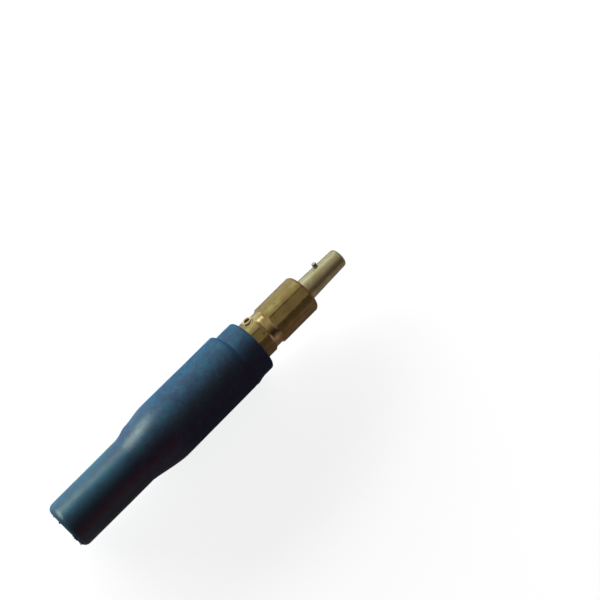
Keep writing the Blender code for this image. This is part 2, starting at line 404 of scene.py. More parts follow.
class Nodes:
    """A node tree whose nodes are added one by one and wired as they come."""

    def __init__(self, tree: bpy.types.NodeTree, coordinates: str) -> None:
        """Start with the coordinates that everything reads."""
        self.tree = tree
        self.where = self.add("TexCoord").outputs[coordinates]

    def feed(self, socket: Socket, value: Fed) -> None:
        """Wire a socket to another one, or set its value.

        Args:
            socket: The socket that is fed.
            value: Another socket, a number, a colour or three sizes.
        """
        if isinstance(value, Socket):
            self.tree.links.new(value, socket)
        elif socket.type == "RGBA":
            socket.default_value = (*value, 1.0)
        else:
            socket.default_value = value

    def add(self, kind: str, **inputs: Fed) -> bpy.types.Node:
        """Add a node.

        Args:
            kind: The end of its type's name.
            **inputs: What its inputs are fed, by their names in small letters with _ for a space.

        Returns:
            The node.
        """
        node = self.tree.nodes.new(f"ShaderNode{kind}")
        for name, value in inputs.items():
            self.feed(node.inputs[name.replace("_", " ").title()], value)
        return node

    def maths(self, operation: str, *values: Fed) -> Socket:
        """Combine values with one operation.

        Args:
            operation: The operation's name.
            *values: The values, in their order.

        Returns:
            The result.
        """
        node = self.add("Math")
        node.operation = operation
        for socket, value in zip(node.inputs, values):
            self.feed(socket, value)
        return node.outputs["Value"]

    def mix(self, share: Fed, low: Fed, high: Fed, mixed: Mixed = Mixed.COLOURS) -> Socket:
        """Mix two colours or two numbers.

        Args:
            share: How much of the second there is.
            low: The first.
            high: The second.
            mixed: Whether they are colours or numbers.

        Returns:
            The mixture.
        """
        node = self.add("Mix")
        node.data_type, first, output = mixed.value
        for place, value in ((0, share), (first, low), (first + 1, high)):
            self.feed(node.inputs[place], value)
        return node.outputs[output]

    def span(self, value: Socket, source: Point, target: Point) -> Socket:
        """Map a value's range to another, with smooth ends.

        Args:
            value: The value.
            source: The range that it is mapped from.
            target: The range that it is mapped to.

        Returns:
            The mapped value, which stays in the second range.
        """
        node = self.add(
            "MapRange",
            value=value,
            from_min=source[0],
            from_max=source[1],
            to_min=target[0],
            to_max=target[1],
        )
        node.interpolation_type = "SMOOTHSTEP"
        return node.outputs["Result"]

    def axis(self, name: str) -> Socket:
        """Return one of the coordinates."""
        return self.add("SeparateXYZ", vector=self.where).outputs[name]

    def pattern(self, pattern: Pattern) -> Socket:
        """Add a noise pattern.

        Args:
            pattern: The pattern.

        Returns:
            Its value at each place.
        """
        where = self.where
        if pattern.stretch:
            where = self.add("Mapping", vector=where, scale=pattern.stretch).outputs["Vector"]
        node = self.add(
            "TexNoise",
            vector=where,
            scale=pattern.scale,
            detail=pattern.detail,
            roughness=pattern.rough,
        )
        value = node.outputs["Fac"]
        return self.span(value, pattern.shown, pattern.levels) if pattern.shown else value

    def ramp(self, place: Socket, reach: float, stops: Stops) -> Socket:
        """Colour a line by stops on both sides of its zero.

        Args:
            place: The place on the line.
            reach: How far from zero the stops can be.
            stops: Each stop's place and colour.

        Returns:
            The colour at the place.
        """
        node = self.add("ValToRGB", fac=self.maths("MULTIPLY_ADD", place, 0.5 / reach, 0.5))
        made = node.color_ramp.elements
        while len(made) < len(stops):
            made.new(1.0)
        for stop, (stop_place, colour) in zip(made, stops):
            stop.position = stop_place / reach / 2 + 0.5
            stop.color = (*colour, 1.0)
        return node.outputs["Color"]

    def rays(self, *names: str) -> Socket:
        """Tell some kinds of rays from the others.

        Args:
            *names: The kinds, as the Light Path node names them.

        Returns:
            1 for rays of these kinds and 0 for the others.
        """
        path = self.add("LightPath")
        found = path.outputs[names[0]]
        for name in names[1:]:
            found = self.maths("MAXIMUM", found, path.outputs[name])
        return found


class Paint(Nodes):
    """The nodes of a material, which read Object coordinates."""

    def __init__(self, name: str) -> None:
        """Start with a plain Principled shader.

        Args:
            name: The material's name.
        """
        self.material = bpy.data.materials.new(name)
        self.material.use_nodes = True
        super().__init__(self.material.node_tree, "Object")
        self.shader = self.tree.nodes["Principled BSDF"]

    def bump(self, height: Socket, depth: float, under: Socket | None = None) -> Socket:
        """Raise a fine relief on the surface.

        Args:
            height: Its height, from 0 to 1.
            depth: How deep it is, in metres.
            under: The normal of the relief below it.

        Returns:
            The bent normal.
        """
        node = self.add("Bump", strength=1.0, distance=depth, height=height)
        if under is not None:
            self.feed(node.inputs["Normal"], under)
        return node.outputs["Normal"]

    def finish(self, **inputs: Fed) -> bpy.types.Material:
        """Feed the shader.

        Args:
            **inputs: What its inputs are fed, by their names in small letters with _ for a space.

        Returns:
            The material.
        """
        for name, value in inputs.items():
            self.feed(self.shader.inputs[name.replace("_", " ").title().replace("Ior", "IOR")], value)
        return self.material


@dataclass(frozen=True)
class MouldedRubber:
    """Blue moulded rubber with a satin skin and soft, cloudy mottling.

    Hands have polished the tail and left its end a little paler. The front is dusty and matt.
    """

    pale: Colour = (0.012, 0.163, 0.285)
    deep: Colour = (0.015, 0.075, 0.180)
    bloom: Colour = (0.016, 0.210, 0.280)
    cloud: Pattern = Pattern(230.0, 5.0, 0.74, (0.36, 0.64))
    fleck: Pattern = Pattern(1300.0, 3.0, 0.7, (0.38, 0.62), (0.0, 0.44))
    scuff: Pattern = Pattern(40.0, 5.0, 0.62, (0.52, 0.74), (0.0, 0.55), (0.35, 1.0, 1.0))
    smear: Pattern = Pattern(210.0, 4.0, 0.6)
    waves: Pattern = Pattern(130.0, 2.0, 0.5)
    wave_depth: float = 0.00009
    grain: Pattern = Pattern(1500.0, 3.0, 0.6)
    grain_depth: float = 0.000025
    polished: Point = (0.35, 0.43)
    dusty: Point = (0.70, 0.80)
    polished_to: Point = (-0.036, -0.022)
    paler_to: Point = (-0.064, -0.050)
    paler_share: float = 0.30
    gloss_level: float = 0.34

    def material(self) -> bpy.types.Material:
        """Make the material.

        Returns:
            The material.
        """
        paint = Paint("moulded_rubber")
        along = paint.axis("X")
        mottled = paint.mix(paint.pattern(self.cloud), self.deep, self.pale)
        flecked = paint.mix(paint.pattern(self.fleck), mottled, self.deep)
        scuffed = paint.mix(paint.pattern(self.scuff), flecked, self.bloom)
        handled = paint.span(along, self.paler_to, (self.paler_share, 0.0))
        smear = paint.pattern(self.smear)
        tail_shine = paint.span(smear, MIDDLE, self.polished)
        front_shine = paint.span(smear, MIDDLE, self.dusty)
        forward = paint.span(along, self.polished_to, (0.0, 1.0))
        wavy = paint.bump(paint.pattern(self.waves), self.wave_depth)
        return paint.finish(
            base_color=paint.mix(handled, scuffed, self.bloom),
            roughness=paint.mix(forward, tail_shine, front_shine, Mixed.NUMBERS),
            normal=paint.bump(paint.pattern(self.grain), self.grain_depth, wavy),
            specular_ior_level=self.gloss_level,
        )


@dataclass(frozen=True)
class Brass:
    """Machined brass that handling has dulled.

    The tool marks run along the grain's stretch. Dark lines follow the long edges of the drawn flats. They
    are partly dirt and partly painted shade: they stay dark away from the lamps and fade out on the lamps'
    side (+Y). The front chamfer is reddish from staining.
    """

    name: str
    clean: Colour
    dull: Colour
    stain_and_edge_shade: Colour
    roughness: Point
    grain: Pattern
    grain_depth: float
    grain_shown: Point = (0.35, 0.75)
    grain_share: Point = (0.0, 0.35)
    tarnish: Pattern = Pattern(150.0, 5.0, 0.62, (0.38, 0.66))
    spots: Pattern = Pattern(420.0, 3.0, 0.55, (0.60, 0.76), (0.0, 0.7))
    edge_lines: float = 0.0
    edge_angle: float = math.radians(15.0)
    edge_spread: float = math.radians(3.6)
    ragged: Pattern = Pattern(300.0, 3.0, 0.6, (0.25, 0.75), (0.35, 1.0))
    # Painted shade: across Y, the edge lines go from the first share to the second, so they fade towards
    # the lamps' side (+Y).
    lamp_side_fade: Point = (0.0025, 0.0048)
    lamp_side_share: Point = (1.0, 0.12)
    front_stain: Colour = (0.27, 0.135, 0.055)
    front_from: Point = (0.0672, 0.0692)
    front_share: Point = (0.0, 0.75)

    def edge_dirt_and_shade(self, paint: Paint) -> Socket:
        """Draw the dirt and painted shade at the flats' long edges, by the angle from the nearest flat's
        middle.

        Args:
            paint: The material's nodes.

        Returns:
            How much dirt and painted shade lies at a place.
        """
        sixth = math.tau / HEXAGON
        across = paint.axis("Y")
        lifted = paint.maths("SUBTRACT", paint.axis("Z"), AXIS.height)
        angle = paint.maths("ARCTAN2", across, lifted)
        turned_on = paint.maths("ADD", angle, math.tau - AXIS.screw_side + sixth / 2)
        in_flat = paint.maths("SUBTRACT", paint.maths("MODULO", turned_on, sixth), sixth / 2)
        off_edge = paint.maths("SUBTRACT", paint.maths("ABSOLUTE", in_flat), self.edge_angle)
        distance = paint.maths("ABSOLUTE", off_edge)
        line = paint.span(distance, (0.0, self.edge_spread), (self.edge_lines, 0.0))
        # Painted shade: the lines are full away from the lamps and fade towards +Y, the lamps' side.
        away_from_lamps = paint.span(across, self.lamp_side_fade, self.lamp_side_share)
        left = paint.maths("MULTIPLY", paint.pattern(self.ragged), away_from_lamps)
        return paint.maths("MULTIPLY", line, left)

    def material(self) -> bpy.types.Material:
        """Make the material.

        Returns:
            The material.
        """
        paint = Paint(self.name)
        grain = paint.pattern(self.grain)
        tarnish = paint.pattern(self.tarnish)
        base = paint.mix(tarnish, self.clean, self.dull)
        marked = paint.mix(paint.span(grain, self.grain_shown, self.grain_share), base, self.dull)
        stained = paint.mix(paint.pattern(self.spots), marked, self.stain_and_edge_shade)
        if self.edge_lines:
            # Dirt and painted shade along the flats' long edges.
            stained = paint.mix(self.edge_dirt_and_shade(paint), stained, self.stain_and_edge_shade)
            front = paint.span(paint.axis("X"), self.front_from, self.front_share)
            stained = paint.mix(front, stained, self.front_stain)
        low, high = self.roughness
        grain_shine = paint.span(grain, MIDDLE, (low, (low + high) / 2))
        tarnish_shine = paint.span(tarnish, (0.0, 1.0), (0.0, (high - low) / 2))
        return paint.finish(
            base_color=stained,
            roughness=paint.maths("ADD", grain_shine, tarnish_shine),
            metallic=1.0,
            normal=paint.bump(grain, self.grain_depth),
        )


@dataclass(frozen=True)
class BareMetal:
    """A plain machined metal with fine marks and a few duller patches."""

    name: str
    colour: Colour
    worn: Colour
    roughness: Point
    patches: Pattern = Pattern(320.0, 4.0, 0.6, (0.35, 0.70))
    smear: Pattern = Pattern(900.0, 3.0, 0.6)
    marks: Pattern = Pattern(2600.0, 2.0, 0.5)
    mark_depth: float = 0.000006

    def material(self) -> bpy.types.Material:
        """Make the material, unless another piece of the same metal has it already.

        Returns:
            The material, which such pieces share.
        """
        if self.name in bpy.data.materials:
            return bpy.data.materials[self.name]
        paint = Paint(self.name)
        return paint.finish(
            base_color=paint.mix(paint.pattern(self.patches), self.colour, self.worn),
            roughness=paint.span(paint.pattern(self.smear), MIDDLE, self.roughness),
            metallic=1.0,
            normal=paint.bump(paint.pattern(self.marks), self.mark_depth),
        )


PIN_BRASS = Brass(
    name="turned_pin_brass",
    clean=(0.52, 0.502, 0.312),
    dull=(0.43, 0.402, 0.226),
    stain_and_edge_shade=(0.25, 0.19, 0.095),
    roughness=(0.38, 0.50),
    grain=Pattern(1.0, 3.0, 0.65, stretch=(5200.0, 260.0, 260.0)),
    grain_depth=0.000006,
)
FLAT_BRASS = Brass(
    name="drawn_flat_brass",
    clean=(0.357, 0.298, 0.122),
    dull=(0.302, 0.230, 0.086),
    stain_and_edge_shade=(0.11, 0.062, 0.022),
    roughness=(0.40, 0.52),
    grain=Pattern(1.0, 3.0, 0.65, stretch=(70.0, 2600.0, 2600.0)),
    grain_depth=0.000008,
    edge_lines=1.0,
)
TURNED_BRASS = Brass(
    name="turned_edge_brass",
    clean=(0.52, 0.435, 0.225),
    dull=(0.36, 0.265, 0.105),
    stain_and_edge_shade=(0.20, 0.115, 0.045),
    roughness=(0.15, 0.26),
    grain=Pattern(1.0, 3.0, 0.65, stretch=(4600.0, 240.0, 240.0)),
    grain_depth=0.000006,
)
STEEL = BareMetal("plain_steel", (0.62, 0.63, 0.62), (0.42, 0.42, 0.40), (0.20, 0.34))
ZINC = BareMetal("yellow_zinc_steel", (0.82, 0.74, 0.50), (0.52, 0.42, 0.24), (0.16, 0.30))
COPPER = BareMetal("rolled_copper", (0.60, 0.30, 0.18), (0.42, 0.19, 0.11), (0.28, 0.45))


@dataclass(frozen=True)
class MouldMarks:
    """What the mould leaves on the sleeve's outside, beside its plain turned form.

    The step at the collar is soft on one side and creased on the other, the collar stands a little
    off centre, a parting line lifts the taper across from the soft side, and the skin is never quite
    true. Places are counted from the sleeve's tail.
    """

    skin: float = 0.0016
    soft_side: float = math.radians(150.0)
    soft_length: float = 0.0090
    soft_lead: float = 0.0015
    soft_share: Point = (0.15, 0.85)
    collar_offset: float = 0.0006
    crease_depth: float = 0.0004
    crease_lead: float = 0.0003
    crease_width: float = 0.00055
    crease_share: Point = (0.2, 0.8)
    seam_place: float = 0.0528
    seam_height: float = 0.0005
    seam_length: float = 0.0026
    seam_share: float = 0.03
    waviness: float = 0.00012
    wave_scale: Colour = (60.0, 60.0, 48.0)


@dataclass(frozen=True)
class Nub:
    """A small cone of rubber on the tail's end, at an angle in degrees from the screws' side."""

    angle: float
    radius: float
    width: float


@dataclass(frozen=True)
class Flash:
    """The torn lip and the small nubs that the mould leaves on the tail's end.

    Places are counted from the very end of the tail, angles in degrees from the screws' side.
    """

    lip_radius: float = 0.0106
    lip_sunk: float = 0.0003
    lip_edge: float = 0.00012
    lip_half_widths: Point = (0.00022, 0.00010)
    lip_from: float = 86.0
    lip_sweep: float = 42.0
    lip_steps: int = 30
    tear: float = 0.00045
    tear_scale: float = 900.0
    torn_below: float = 0.0002
    nubs: tuple[Nub, ...] = (
        Nub(36.0, 0.0098, 0.00062),
        Nub(94.0, 0.0112, 0.00050),
        Nub(101.0, 0.0110, 0.00040),
        Nub(124.0, 0.0116, 0.00050),
        Nub(-70.0, 0.0108, 0.00045),
    )
    nub_sunk: float = 0.00039
    nub_tip: float = 0.00002
    nub_ends: Point = (1.3, 0.5)
    nub_squash: Point = (0.7, 1.3)
    nub_facets: int = 10

    def lip(self, surface: float) -> bmesh.types.BMesh:
        """Make the lip.

        Args:
            surface: Where the tail's end is at the lip's radius.

        Returns:
            The lip, whose free edge is torn.
        """
        shape = bmesh.new()
        root = surface + self.lip_sunk
        wide, narrow = self.lip_half_widths
        section = ((-wide, root), (wide, root), (narrow, self.lip_edge), (-narrow, self.lip_edge))
        verts = [shape.verts.new((self.lip_radius + off, 0.0, height)) for off, height in section]
        face = shape.faces.new(verts)
        start = Matrix.Rotation(math.radians(self.lip_from), 3, "Z")
        bmesh.ops.rotate(shape, cent=(0.0, 0.0, 0.0), matrix=start, verts=verts)
        spin(shape, [face, *face.edges, *verts], math.radians(self.lip_sweep), self.lip_steps)
        for vert in shape.verts:
            if vert.co.z < self.torn_below:
                at = Vector((vert.co.x * self.tear_scale, vert.co.y * self.tear_scale, 0.0))
                vert.co.z += self.tear * max(0.0, min(1.0, 0.5 + noise.noise(at)))
        return shape

    def shape(self, surface: Callable[[float], float]) -> bmesh.types.BMesh:
        """Make the lip and the nubs.

        Args:
            surface: Gives where the tail's end is at a radius.

        Returns:
            Their shape.
        """
        shape = self.lip(surface(self.lip_radius))
        root_share, tip_share = self.nub_ends
        for nub in self.nubs:
            root = surface(nub.radius) + self.nub_sunk
            turn = Matrix.Rotation(math.radians(nub.angle), 4, "Z")
            middle = Matrix.Translation((nub.radius, 0.0, (root + self.nub_tip) / 2))
            over = Matrix.Rotation(math.pi, 4, "X")
            bmesh.ops.create_cone(
                shape,
                cap_ends=True,
                cap_tris=False,
                segments=self.nub_facets,
                radius1=nub.width * root_share,
                radius2=nub.width * tip_share,
                depth=root - self.nub_tip,
                matrix=turn @ middle @ over @ Matrix.Diagonal((*self.nub_squash, 1.0, 1.0)),
            )
        bmesh.ops.recalc_face_normals(shape, faces=shape.faces)
        return shape


@dataclass
class Sleeve:
    """The moulded rubber sleeve, open at both ends, and the flash on its tail.

    Its own places are counted from its tail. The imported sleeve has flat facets, so the round one is
    drawn in a little to stay inside them.
    """

    rim_place: float = -0.0380
    length: float = 0.1285
    collar_length: float = 0.0111
    collar_radius: float = 0.0154
    collar_round: float = 0.0016
    step_length: float = 0.0024
    step_eases: Point = (0.35, 1.2)
    barrel_length: float = 0.0484
    barrel_radius: float = 0.01685
    taper_length: float = 0.0210
    taper_eases: Point = (0.0060, 0.0028)
    tail_front_radius: float = 0.01345
    tail_end_radius: float = 0.01325
    tail_round: float = 0.0036
    tail_trim: float = 0.0005
    bore_radius: float = 0.0114
    bore_depth: float = 0.0679
    bore_taper: float = 0.0060
    cable_bore_radius: float = 0.00825
    edge_round: float = 0.0006
    around: int = 168
    packed_facets: int = 60
    edge_steps: int = 4
    collar_round_steps: int = 8
    collar_steps: int = 14
    crease_steps: int = 12
    crease_zone: float = 0.0020
    step_steps: int = 14
    barrel_steps: int = 48
    taper_steps: int = 22
    tail_steps: int = 24
    tail_round_steps: int = 12
    cable_bore_steps: int = 8
    bore_steps: int = 10
    marks: MouldMarks = MouldMarks()
    flash: Flash = Flash()
    finish: MouldedRubber = MouldedRubber()

    def outline(self) -> Outline:
        """Draw the wall: down the outside, then back up its bores.

        Returns:
            The closed outline.
        """
        rim = self.length
        shoulder = rim - self.collar_length
        barrel_front = shoulder - self.step_length
        taper_front = barrel_front - self.barrel_length
        taper_end = taper_front - self.taper_length
        bore_end = rim - self.bore_depth
        edge = self.edge_round
        half_step = self.step_length / 2
        step_ease, barrel_ease = (half_step * share for share in self.step_eases)
        collar_middle = self.collar_radius - self.collar_round
        tail_middle = self.tail_end_radius - self.tail_round
        tail_end = self.tail_trim + self.tail_round
        out = Outline(collar_middle, rim)
        out.arc((collar_middle, rim - self.collar_round), self.collar_round, 90, 0, self.collar_round_steps)
        out.to(self.collar_radius, shoulder + self.crease_zone, self.collar_steps)
        out.to(self.collar_radius, shoulder, self.crease_steps)
        out.ease((self.barrel_radius, barrel_front), step_ease, barrel_ease, self.step_steps)
        out.to(self.barrel_radius, taper_front, self.barrel_steps)
        out.ease((self.tail_front_radius, taper_end), *self.taper_eases, self.taper_steps)
        out.to(self.tail_end_radius, tail_end, self.tail_steps)
        out.arc((tail_middle, tail_end), self.tail_round, 0, -90, self.tail_round_steps)
        out.arc((self.cable_bore_radius + edge, self.tail_trim + edge), edge, 270, 180, self.edge_steps)
        out.to(self.cable_bore_radius, bore_end - self.bore_taper, self.cable_bore_steps)
        out.to(self.bore_radius, bore_end)
        out.to(self.bore_radius, rim - edge, self.bore_steps)
        out.arc((self.bore_radius + edge, rim - edge), edge, 180, 90, self.edge_steps)
        return out

    def mould(self, shape: bmesh.types.BMesh) -> None:
        """Give the outside the marks of its mould.

        Args:
            shape: The plain turned sleeve.
        """
        marks = self.marks
        inner = self.bore_radius + self.edge_round
        step_end = self.length - self.collar_length
        step_start = step_end - self.step_length
        soft_start = step_start - marks.soft_lead
        aside = Vector((math.cos(marks.soft_side), math.sin(marks.soft_side), 0.0))
        for vert in shape.verts:
            height = vert.co.z
            radius = math.hypot(vert.co.x, vert.co.y)
            skin = smooth_share(radius, inner, inner + marks.skin)
            if not skin:
                continue
            to_soft = 0.5 + 0.5 * math.cos(math.atan2(vert.co.y, vert.co.x) - marks.soft_side)
            eased = smooth_share(height, soft_start, soft_start + marks.soft_length)
            soft_radius = self.barrel_radius + (self.collar_radius - self.barrel_radius) * eased
            grown = 0.0
            if soft_start < height < self.length - self.collar_round:
                grown = (soft_radius - radius) * smooth_share(to_soft, *marks.soft_share)
            off_crease = ((height - step_end - marks.crease_lead) / marks.crease_width) ** 2
            creased = 1.0 - smooth_share(to_soft, *marks.crease_share)
            grown -= marks.crease_depth * math.exp(-off_crease) * creased
            off_seam = ((height - marks.seam_place) / marks.seam_length) ** 2
            off_seam += (to_soft / marks.seam_share) ** 2
            grown += marks.seam_height * math.exp(-off_seam)
            wave = noise.noise(Vector([size * scale for size, scale in zip(vert.co, marks.wave_scale)]))
            grown -= max(0.0, marks.waviness * (0.5 + wave)) * skin
            vert.co.x *= 1.0 + grown / radius
            vert.co.y *= 1.0 + grown / radius
            vert.co += aside * marks.collar_offset * skin * smooth_share(height, step_start, step_end)

    def tail_surface(self, radius: float) -> float:
        """Return how far the rounded end is, at a radius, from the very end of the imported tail."""
        over = max(0.0, radius - self.tail_end_radius + self.tail_round)
        return self.tail_trim + self.tail_round - math.sqrt(self.tail_round**2 - over**2)

    def build(self) -> None:
        """Build the sleeve and its flash."""
        in_frame = AXIS.matrix() @ Matrix.Translation((0.0, 0.0, self.rim_place - self.length))
        shape = turned(self.outline(), self.around, closed=True)
        drawn_in = math.cos(math.pi / self.packed_facets)
        bmesh.ops.scale(shape, vec=(drawn_in, drawn_in, 1.0), verts=shape.verts)
        self.mould(shape)
        rubber = self.finish.material()
        sleeve = mesh_object("rubber_sleeve", shape, in_frame, sharp=50.0)
        flash = mesh_object("tail_flash", self.flash.shape(self.tail_surface), in_frame, sharp=60.0)
        for piece in (sleeve, flash):
            piece.data.materials.append(rubber)
            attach(piece, Body.SLEEVE.value)
            log_piece(piece)
        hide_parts("insulating_sleeve")


@dataclass
class Dowel:
    """The steel dowel that stands out of the pin.

    Its surface is the pin's radius at the place where it stands.
    """

    place: float = 0.0136
    surface: float = 0.0057781
    radius: float = 0.0013
    depth: float = 0.0087
    proud: float = 0.0023
    end_round: float = 0.0005
    end_steps: int = 6
    around: int = 48

    def build(self) -> None:
        """Build the dowel."""
        middle = self.radius - self.end_round
        out = Outline(0.0, self.proud)
        out.arc((middle, self.proud - self.end_round), self.end_round, 90, 0, self.end_steps)
        out.arc((middle, -self.depth + self.end_round), self.end_round, 0, -90, self.end_steps)
        out.to(0.0, -self.depth)
        standing = AXIS.outward(self.surface, self.place)
        dowel = mesh_object("steel_dowel", turned(out, self.around), standing, sharp=50.0)
        dowel.data.materials.append(STEEL.material())
        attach(dowel, Body.CONTACT.value)
        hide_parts("lock_dowel")
        log_piece(dowel)


@dataclass
class ClampScrew:
    """A set screw with a cut thread, a chamfered top and a hexagonal key hole.

    Its own heights are counted down from its top. The thread's form is given by the shares of a turn
    at which it leaves the root, reaches and leaves the crest, and is back at the root.
    """

    name: str
    node: str
    body: Body
    top: float
    place: float
    length: float = 0.0060
    radius: float = 0.0030
    root_radius: float = 0.00245
    pitch: float = 0.0010
    flanks: tuple[float, ...] = (0.20, 0.50, 0.66, 0.96)
    spare_turns: int = 2
    top_chamfer: float = 0.0004
    point_radius: float = 0.0019
    point_length: float = 0.0010
    key_flats: float = 0.0030
    key_depth: float = 0.0030
    mouth_depth: float = 0.0003
    mouth_reach: float = 0.0010
    mouth_lap: float = 0.0002
    mouth_around: int = 48
    around: int = 40
    merge: float = 1e-6

    def thread(self) -> bmesh.types.BMesh:
        """Cut the thread and turn the ends down.

        Returns:
            The screw before its key hole is made.
        """
        shape = bmesh.new()
        root, crest = self.root_radius, self.radius
        leave, rise, fall, back = self.flanks
        ridge = ((root, 0.0), (root, leave), (crest, rise), (crest, fall), (root, back), (root, 1.0))
        low = -self.length - self.spare_turns * self.pitch
        verts = [shape.verts.new((radius, 0.0, low + share * self.pitch)) for radius, share in ridge]
        edges = [shape.edges.new(pair) for pair in zip(verts, verts[1:])]
        turns = math.ceil(self.length / self.pitch) + self.spare_turns + 1
        climb = self.pitch / self.around
        spin(shape, verts + edges, math.tau * turns, self.around * turns, rise=climb)
        bmesh.ops.remove_doubles(shape, verts=shape.verts, dist=self.merge)
        for height, side in ((0.0, 1.0), (-self.length, -1.0)):
            saw(shape, Vector((0.0, 0.0, height)), Vector((0.0, 0.0, side)))
        slope = (self.radius - self.point_radius) / self.point_length
        for vert in shape.verts:
            radius = math.hypot(vert.co.x, vert.co.y)
            top = self.radius - self.top_chamfer - vert.co.z
            point = self.point_radius + (vert.co.z + self.length) * slope
            share = min(1.0, top / radius, point / radius)
            vert.co.x *= share
            vert.co.y *= share
        bmesh.ops.recalc_face_normals(shape, faces=shape.faces)
        return shape

    def build(self) -> None:
        """Build the screw."""
        place = AXIS.outward(self.top, self.place)
        screw = mesh_object(self.name, self.thread(), place)
        key = bmesh.new()
        key_radius = self.key_flats / 2 / math.cos(math.pi / HEXAGON)
        bmesh.ops.create_cone(
            key,
            cap_ends=True,
            cap_tris=False,
            segments=HEXAGON,
            radius1=key_radius,
            radius2=key_radius,
            depth=2 * self.key_depth,
        )
        carve(screw, mesh_object("key", key, place))
        low, high = -self.mouth_depth, self.mouth_reach
        narrow = key_radius - self.mouth_lap
        mouth = Outline(0.0, high).to(narrow + high - low, high).to(narrow, low).to(0.0, low)
        carve(screw, mesh_object("mouth", turned(mouth, self.mouth_around), place))
        screw.data.materials.append(ZINC.material())
        settle(screw, sharp=28.0)
        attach(screw, self.body.value)
        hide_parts(self.node)
        log_piece(screw)


DOWEL = Dowel()
SCREWS = (
    ClampScrew("front_clamp_screw", "clamp_screw_front", Body.FRONT_SCREW, top=0.0117, place=-0.0326),
    ClampScrew("rear_clamp_screw", "clamp_screw_rear", Body.REAR_SCREW, top=0.0099, place=-0.0486),
)


@dataclass
class Contact:
    """The brass contact: pin, front hexagon, groove and shank with the cable socket.

    Its turned edges are softened over a short length, as the tool leaves them.
    """

    pin_length: float = 0.0274
    pin_base_radius: float = 0.0062
    pin_tip_radius: float = 0.00535
    pin_tip_round: float = 0.0016
    pin_root_fillet: float = 0.0004
    tip_steps: int = 10
    fillet_steps: int = 5
    flat_height: float = 0.0107
    corner_radius: float = 0.0111
    chamfer: Point = (0.0013, 0.0009)
    groove: Point = (-0.0260, -0.0296)
    groove_radius: float = 0.01025
    shank_end: float = -0.0676
    socket_radius: float = 0.0070
    socket_bottom: float = -0.0281
    socket_mouth: float = 0.0008
    drill_point: float = math.radians(118)
    around: int = 120
    edge_soft: float = 0.00018
    edge_slope: float = 0.000063
    face_slope: float = 0.000108
    bevel_width: float = 0.00014
    bevel_steps: int = 2
    hole_radius: float = 0.00308
    hole_sink: float = 0.0003
    hole_around: int = 64
    bit_reach: float = 0.0020
    dowel_play: float = 0.00004
    dowel_end_play: float = 0.0001
    dowel_around: int = 40
    drawn_margin: float = 1.015
    drawn_tilt: float = 0.5
    shoulder_margin: float = 0.00002
    flat_area: float = 1e-5
    flat_tilt: float = 0.01
    flat_turn: float = 0.5

    def outline(self) -> Outline:
        """Draw the turned blank, from the tip's centre round to the socket's point.

        Returns:
            The blank's outline.
        """
        length, depth = self.chamfer
        front, rear = self.groove
        end = self.shank_end
        soft = self.edge_soft
        corner, valley = self.corner_radius, self.groove_radius
        face = corner - depth
        cut_corner, cut_valley = corner - self.edge_slope, valley + self.edge_slope
        fillet = self.pin_root_fillet
        tip_middle = (self.pin_tip_radius - self.pin_tip_round, self.pin_length - self.pin_tip_round)
        out = Outline(0.0, self.pin_length)
        out.arc(tip_middle, self.pin_tip_round, 90, 0, self.tip_steps)
        out.arc((self.pin_base_radius + fillet, fillet), fillet, 180, 270, self.fillet_steps)
        out.to(face - soft, 0.0).to(face + self.face_slope, -soft)
        soft_edges = (
            (cut_corner, corner, -length),
            (corner, cut_corner, front + length),
            (cut_valley, valley, front),
            (valley, cut_valley, rear),
            (cut_corner, corner, rear - length),
            (corner, cut_corner, end + length),
        )
        for before, after, place in soft_edges:
            out.to(before, place + soft / 2).to(after, place - soft / 2)
        out.to(face + self.face_slope, end + soft).to(face - soft, end)
        out.to(self.socket_radius + self.socket_mouth, end).to(self.socket_radius, end + self.socket_mouth)
        out.to(self.socket_radius, self.socket_bottom)
        out.to(0.0, self.socket_bottom + self.socket_radius / math.tan(self.drill_point / 2))
        return out

    def cut_flats(self, shape: bmesh.types.BMesh) -> None:
        """Saw the six flats off the turned blank and round their edges.

        Args:
            shape: The turned blank.
        """
        for side in range(HEXAGON):
            angle = math.tau * side / HEXAGON
            normal = Vector((math.cos(angle), math.sin(angle), 0.0))
            saw(shape, normal * self.flat_height, normal)
        bmesh.ops.recalc_face_normals(shape, faces=shape.faces)
        flats = [face for face in shape.faces if self.is_flat(face)]
        rims = {edge for face in flats for edge in face.edges}
        bevel(shape, list(rims), self.bevel_width, self.bevel_steps)

    def is_flat(self, face: bmesh.types.BMFace) -> bool:
        """Tell whether a face is one of the drawn flats.

        Args:
            face: A face of the sawn blank.

        Returns:
            Whether it is large, outside the groove and turned as a flat is.
        """
        middle = face.calc_center_median()
        if math.hypot(middle.x, middle.y) < self.groove_radius or face.calc_area() <= self.flat_area:
            return False
        sixth = 360 / HEXAGON
        angle = math.degrees(math.atan2(face.normal.y, face.normal.x)) % sixth
        upright = abs(face.normal.z) <= self.flat_tilt
        return upright and min(angle, sixth - angle) < self.flat_turn

    def drill(self, contact: bpy.types.Object) -> None:
        """Drill the holes for the screws and the dowel.

        Args:
            contact: The contact.
        """
        reach, sink, wide = self.bit_reach, self.hole_sink, self.hole_radius + self.hole_sink
        for screw in SCREWS:
            bit = Outline(0.0, reach).to(wide + reach, reach).to(wide, 0.0).to(self.hole_radius, -sink)
            bit.to(self.hole_radius, -self.flat_height).to(0.0, -self.flat_height)
            standing = AXIS.outward(self.flat_height, screw.place)
            carve(contact, mesh_object("screw_bit", turned(bit, self.hole_around), standing))
        radius, bottom = DOWEL.radius + self.dowel_play, -DOWEL.depth - self.dowel_end_play
        bit = Outline(0.0, reach).to(radius, reach).to(radius, bottom).to(0.0, bottom)
        standing = AXIS.outward(DOWEL.surface, DOWEL.place)
        carve(contact, mesh_object("dowel_bit", turned(bit, self.dowel_around), standing))

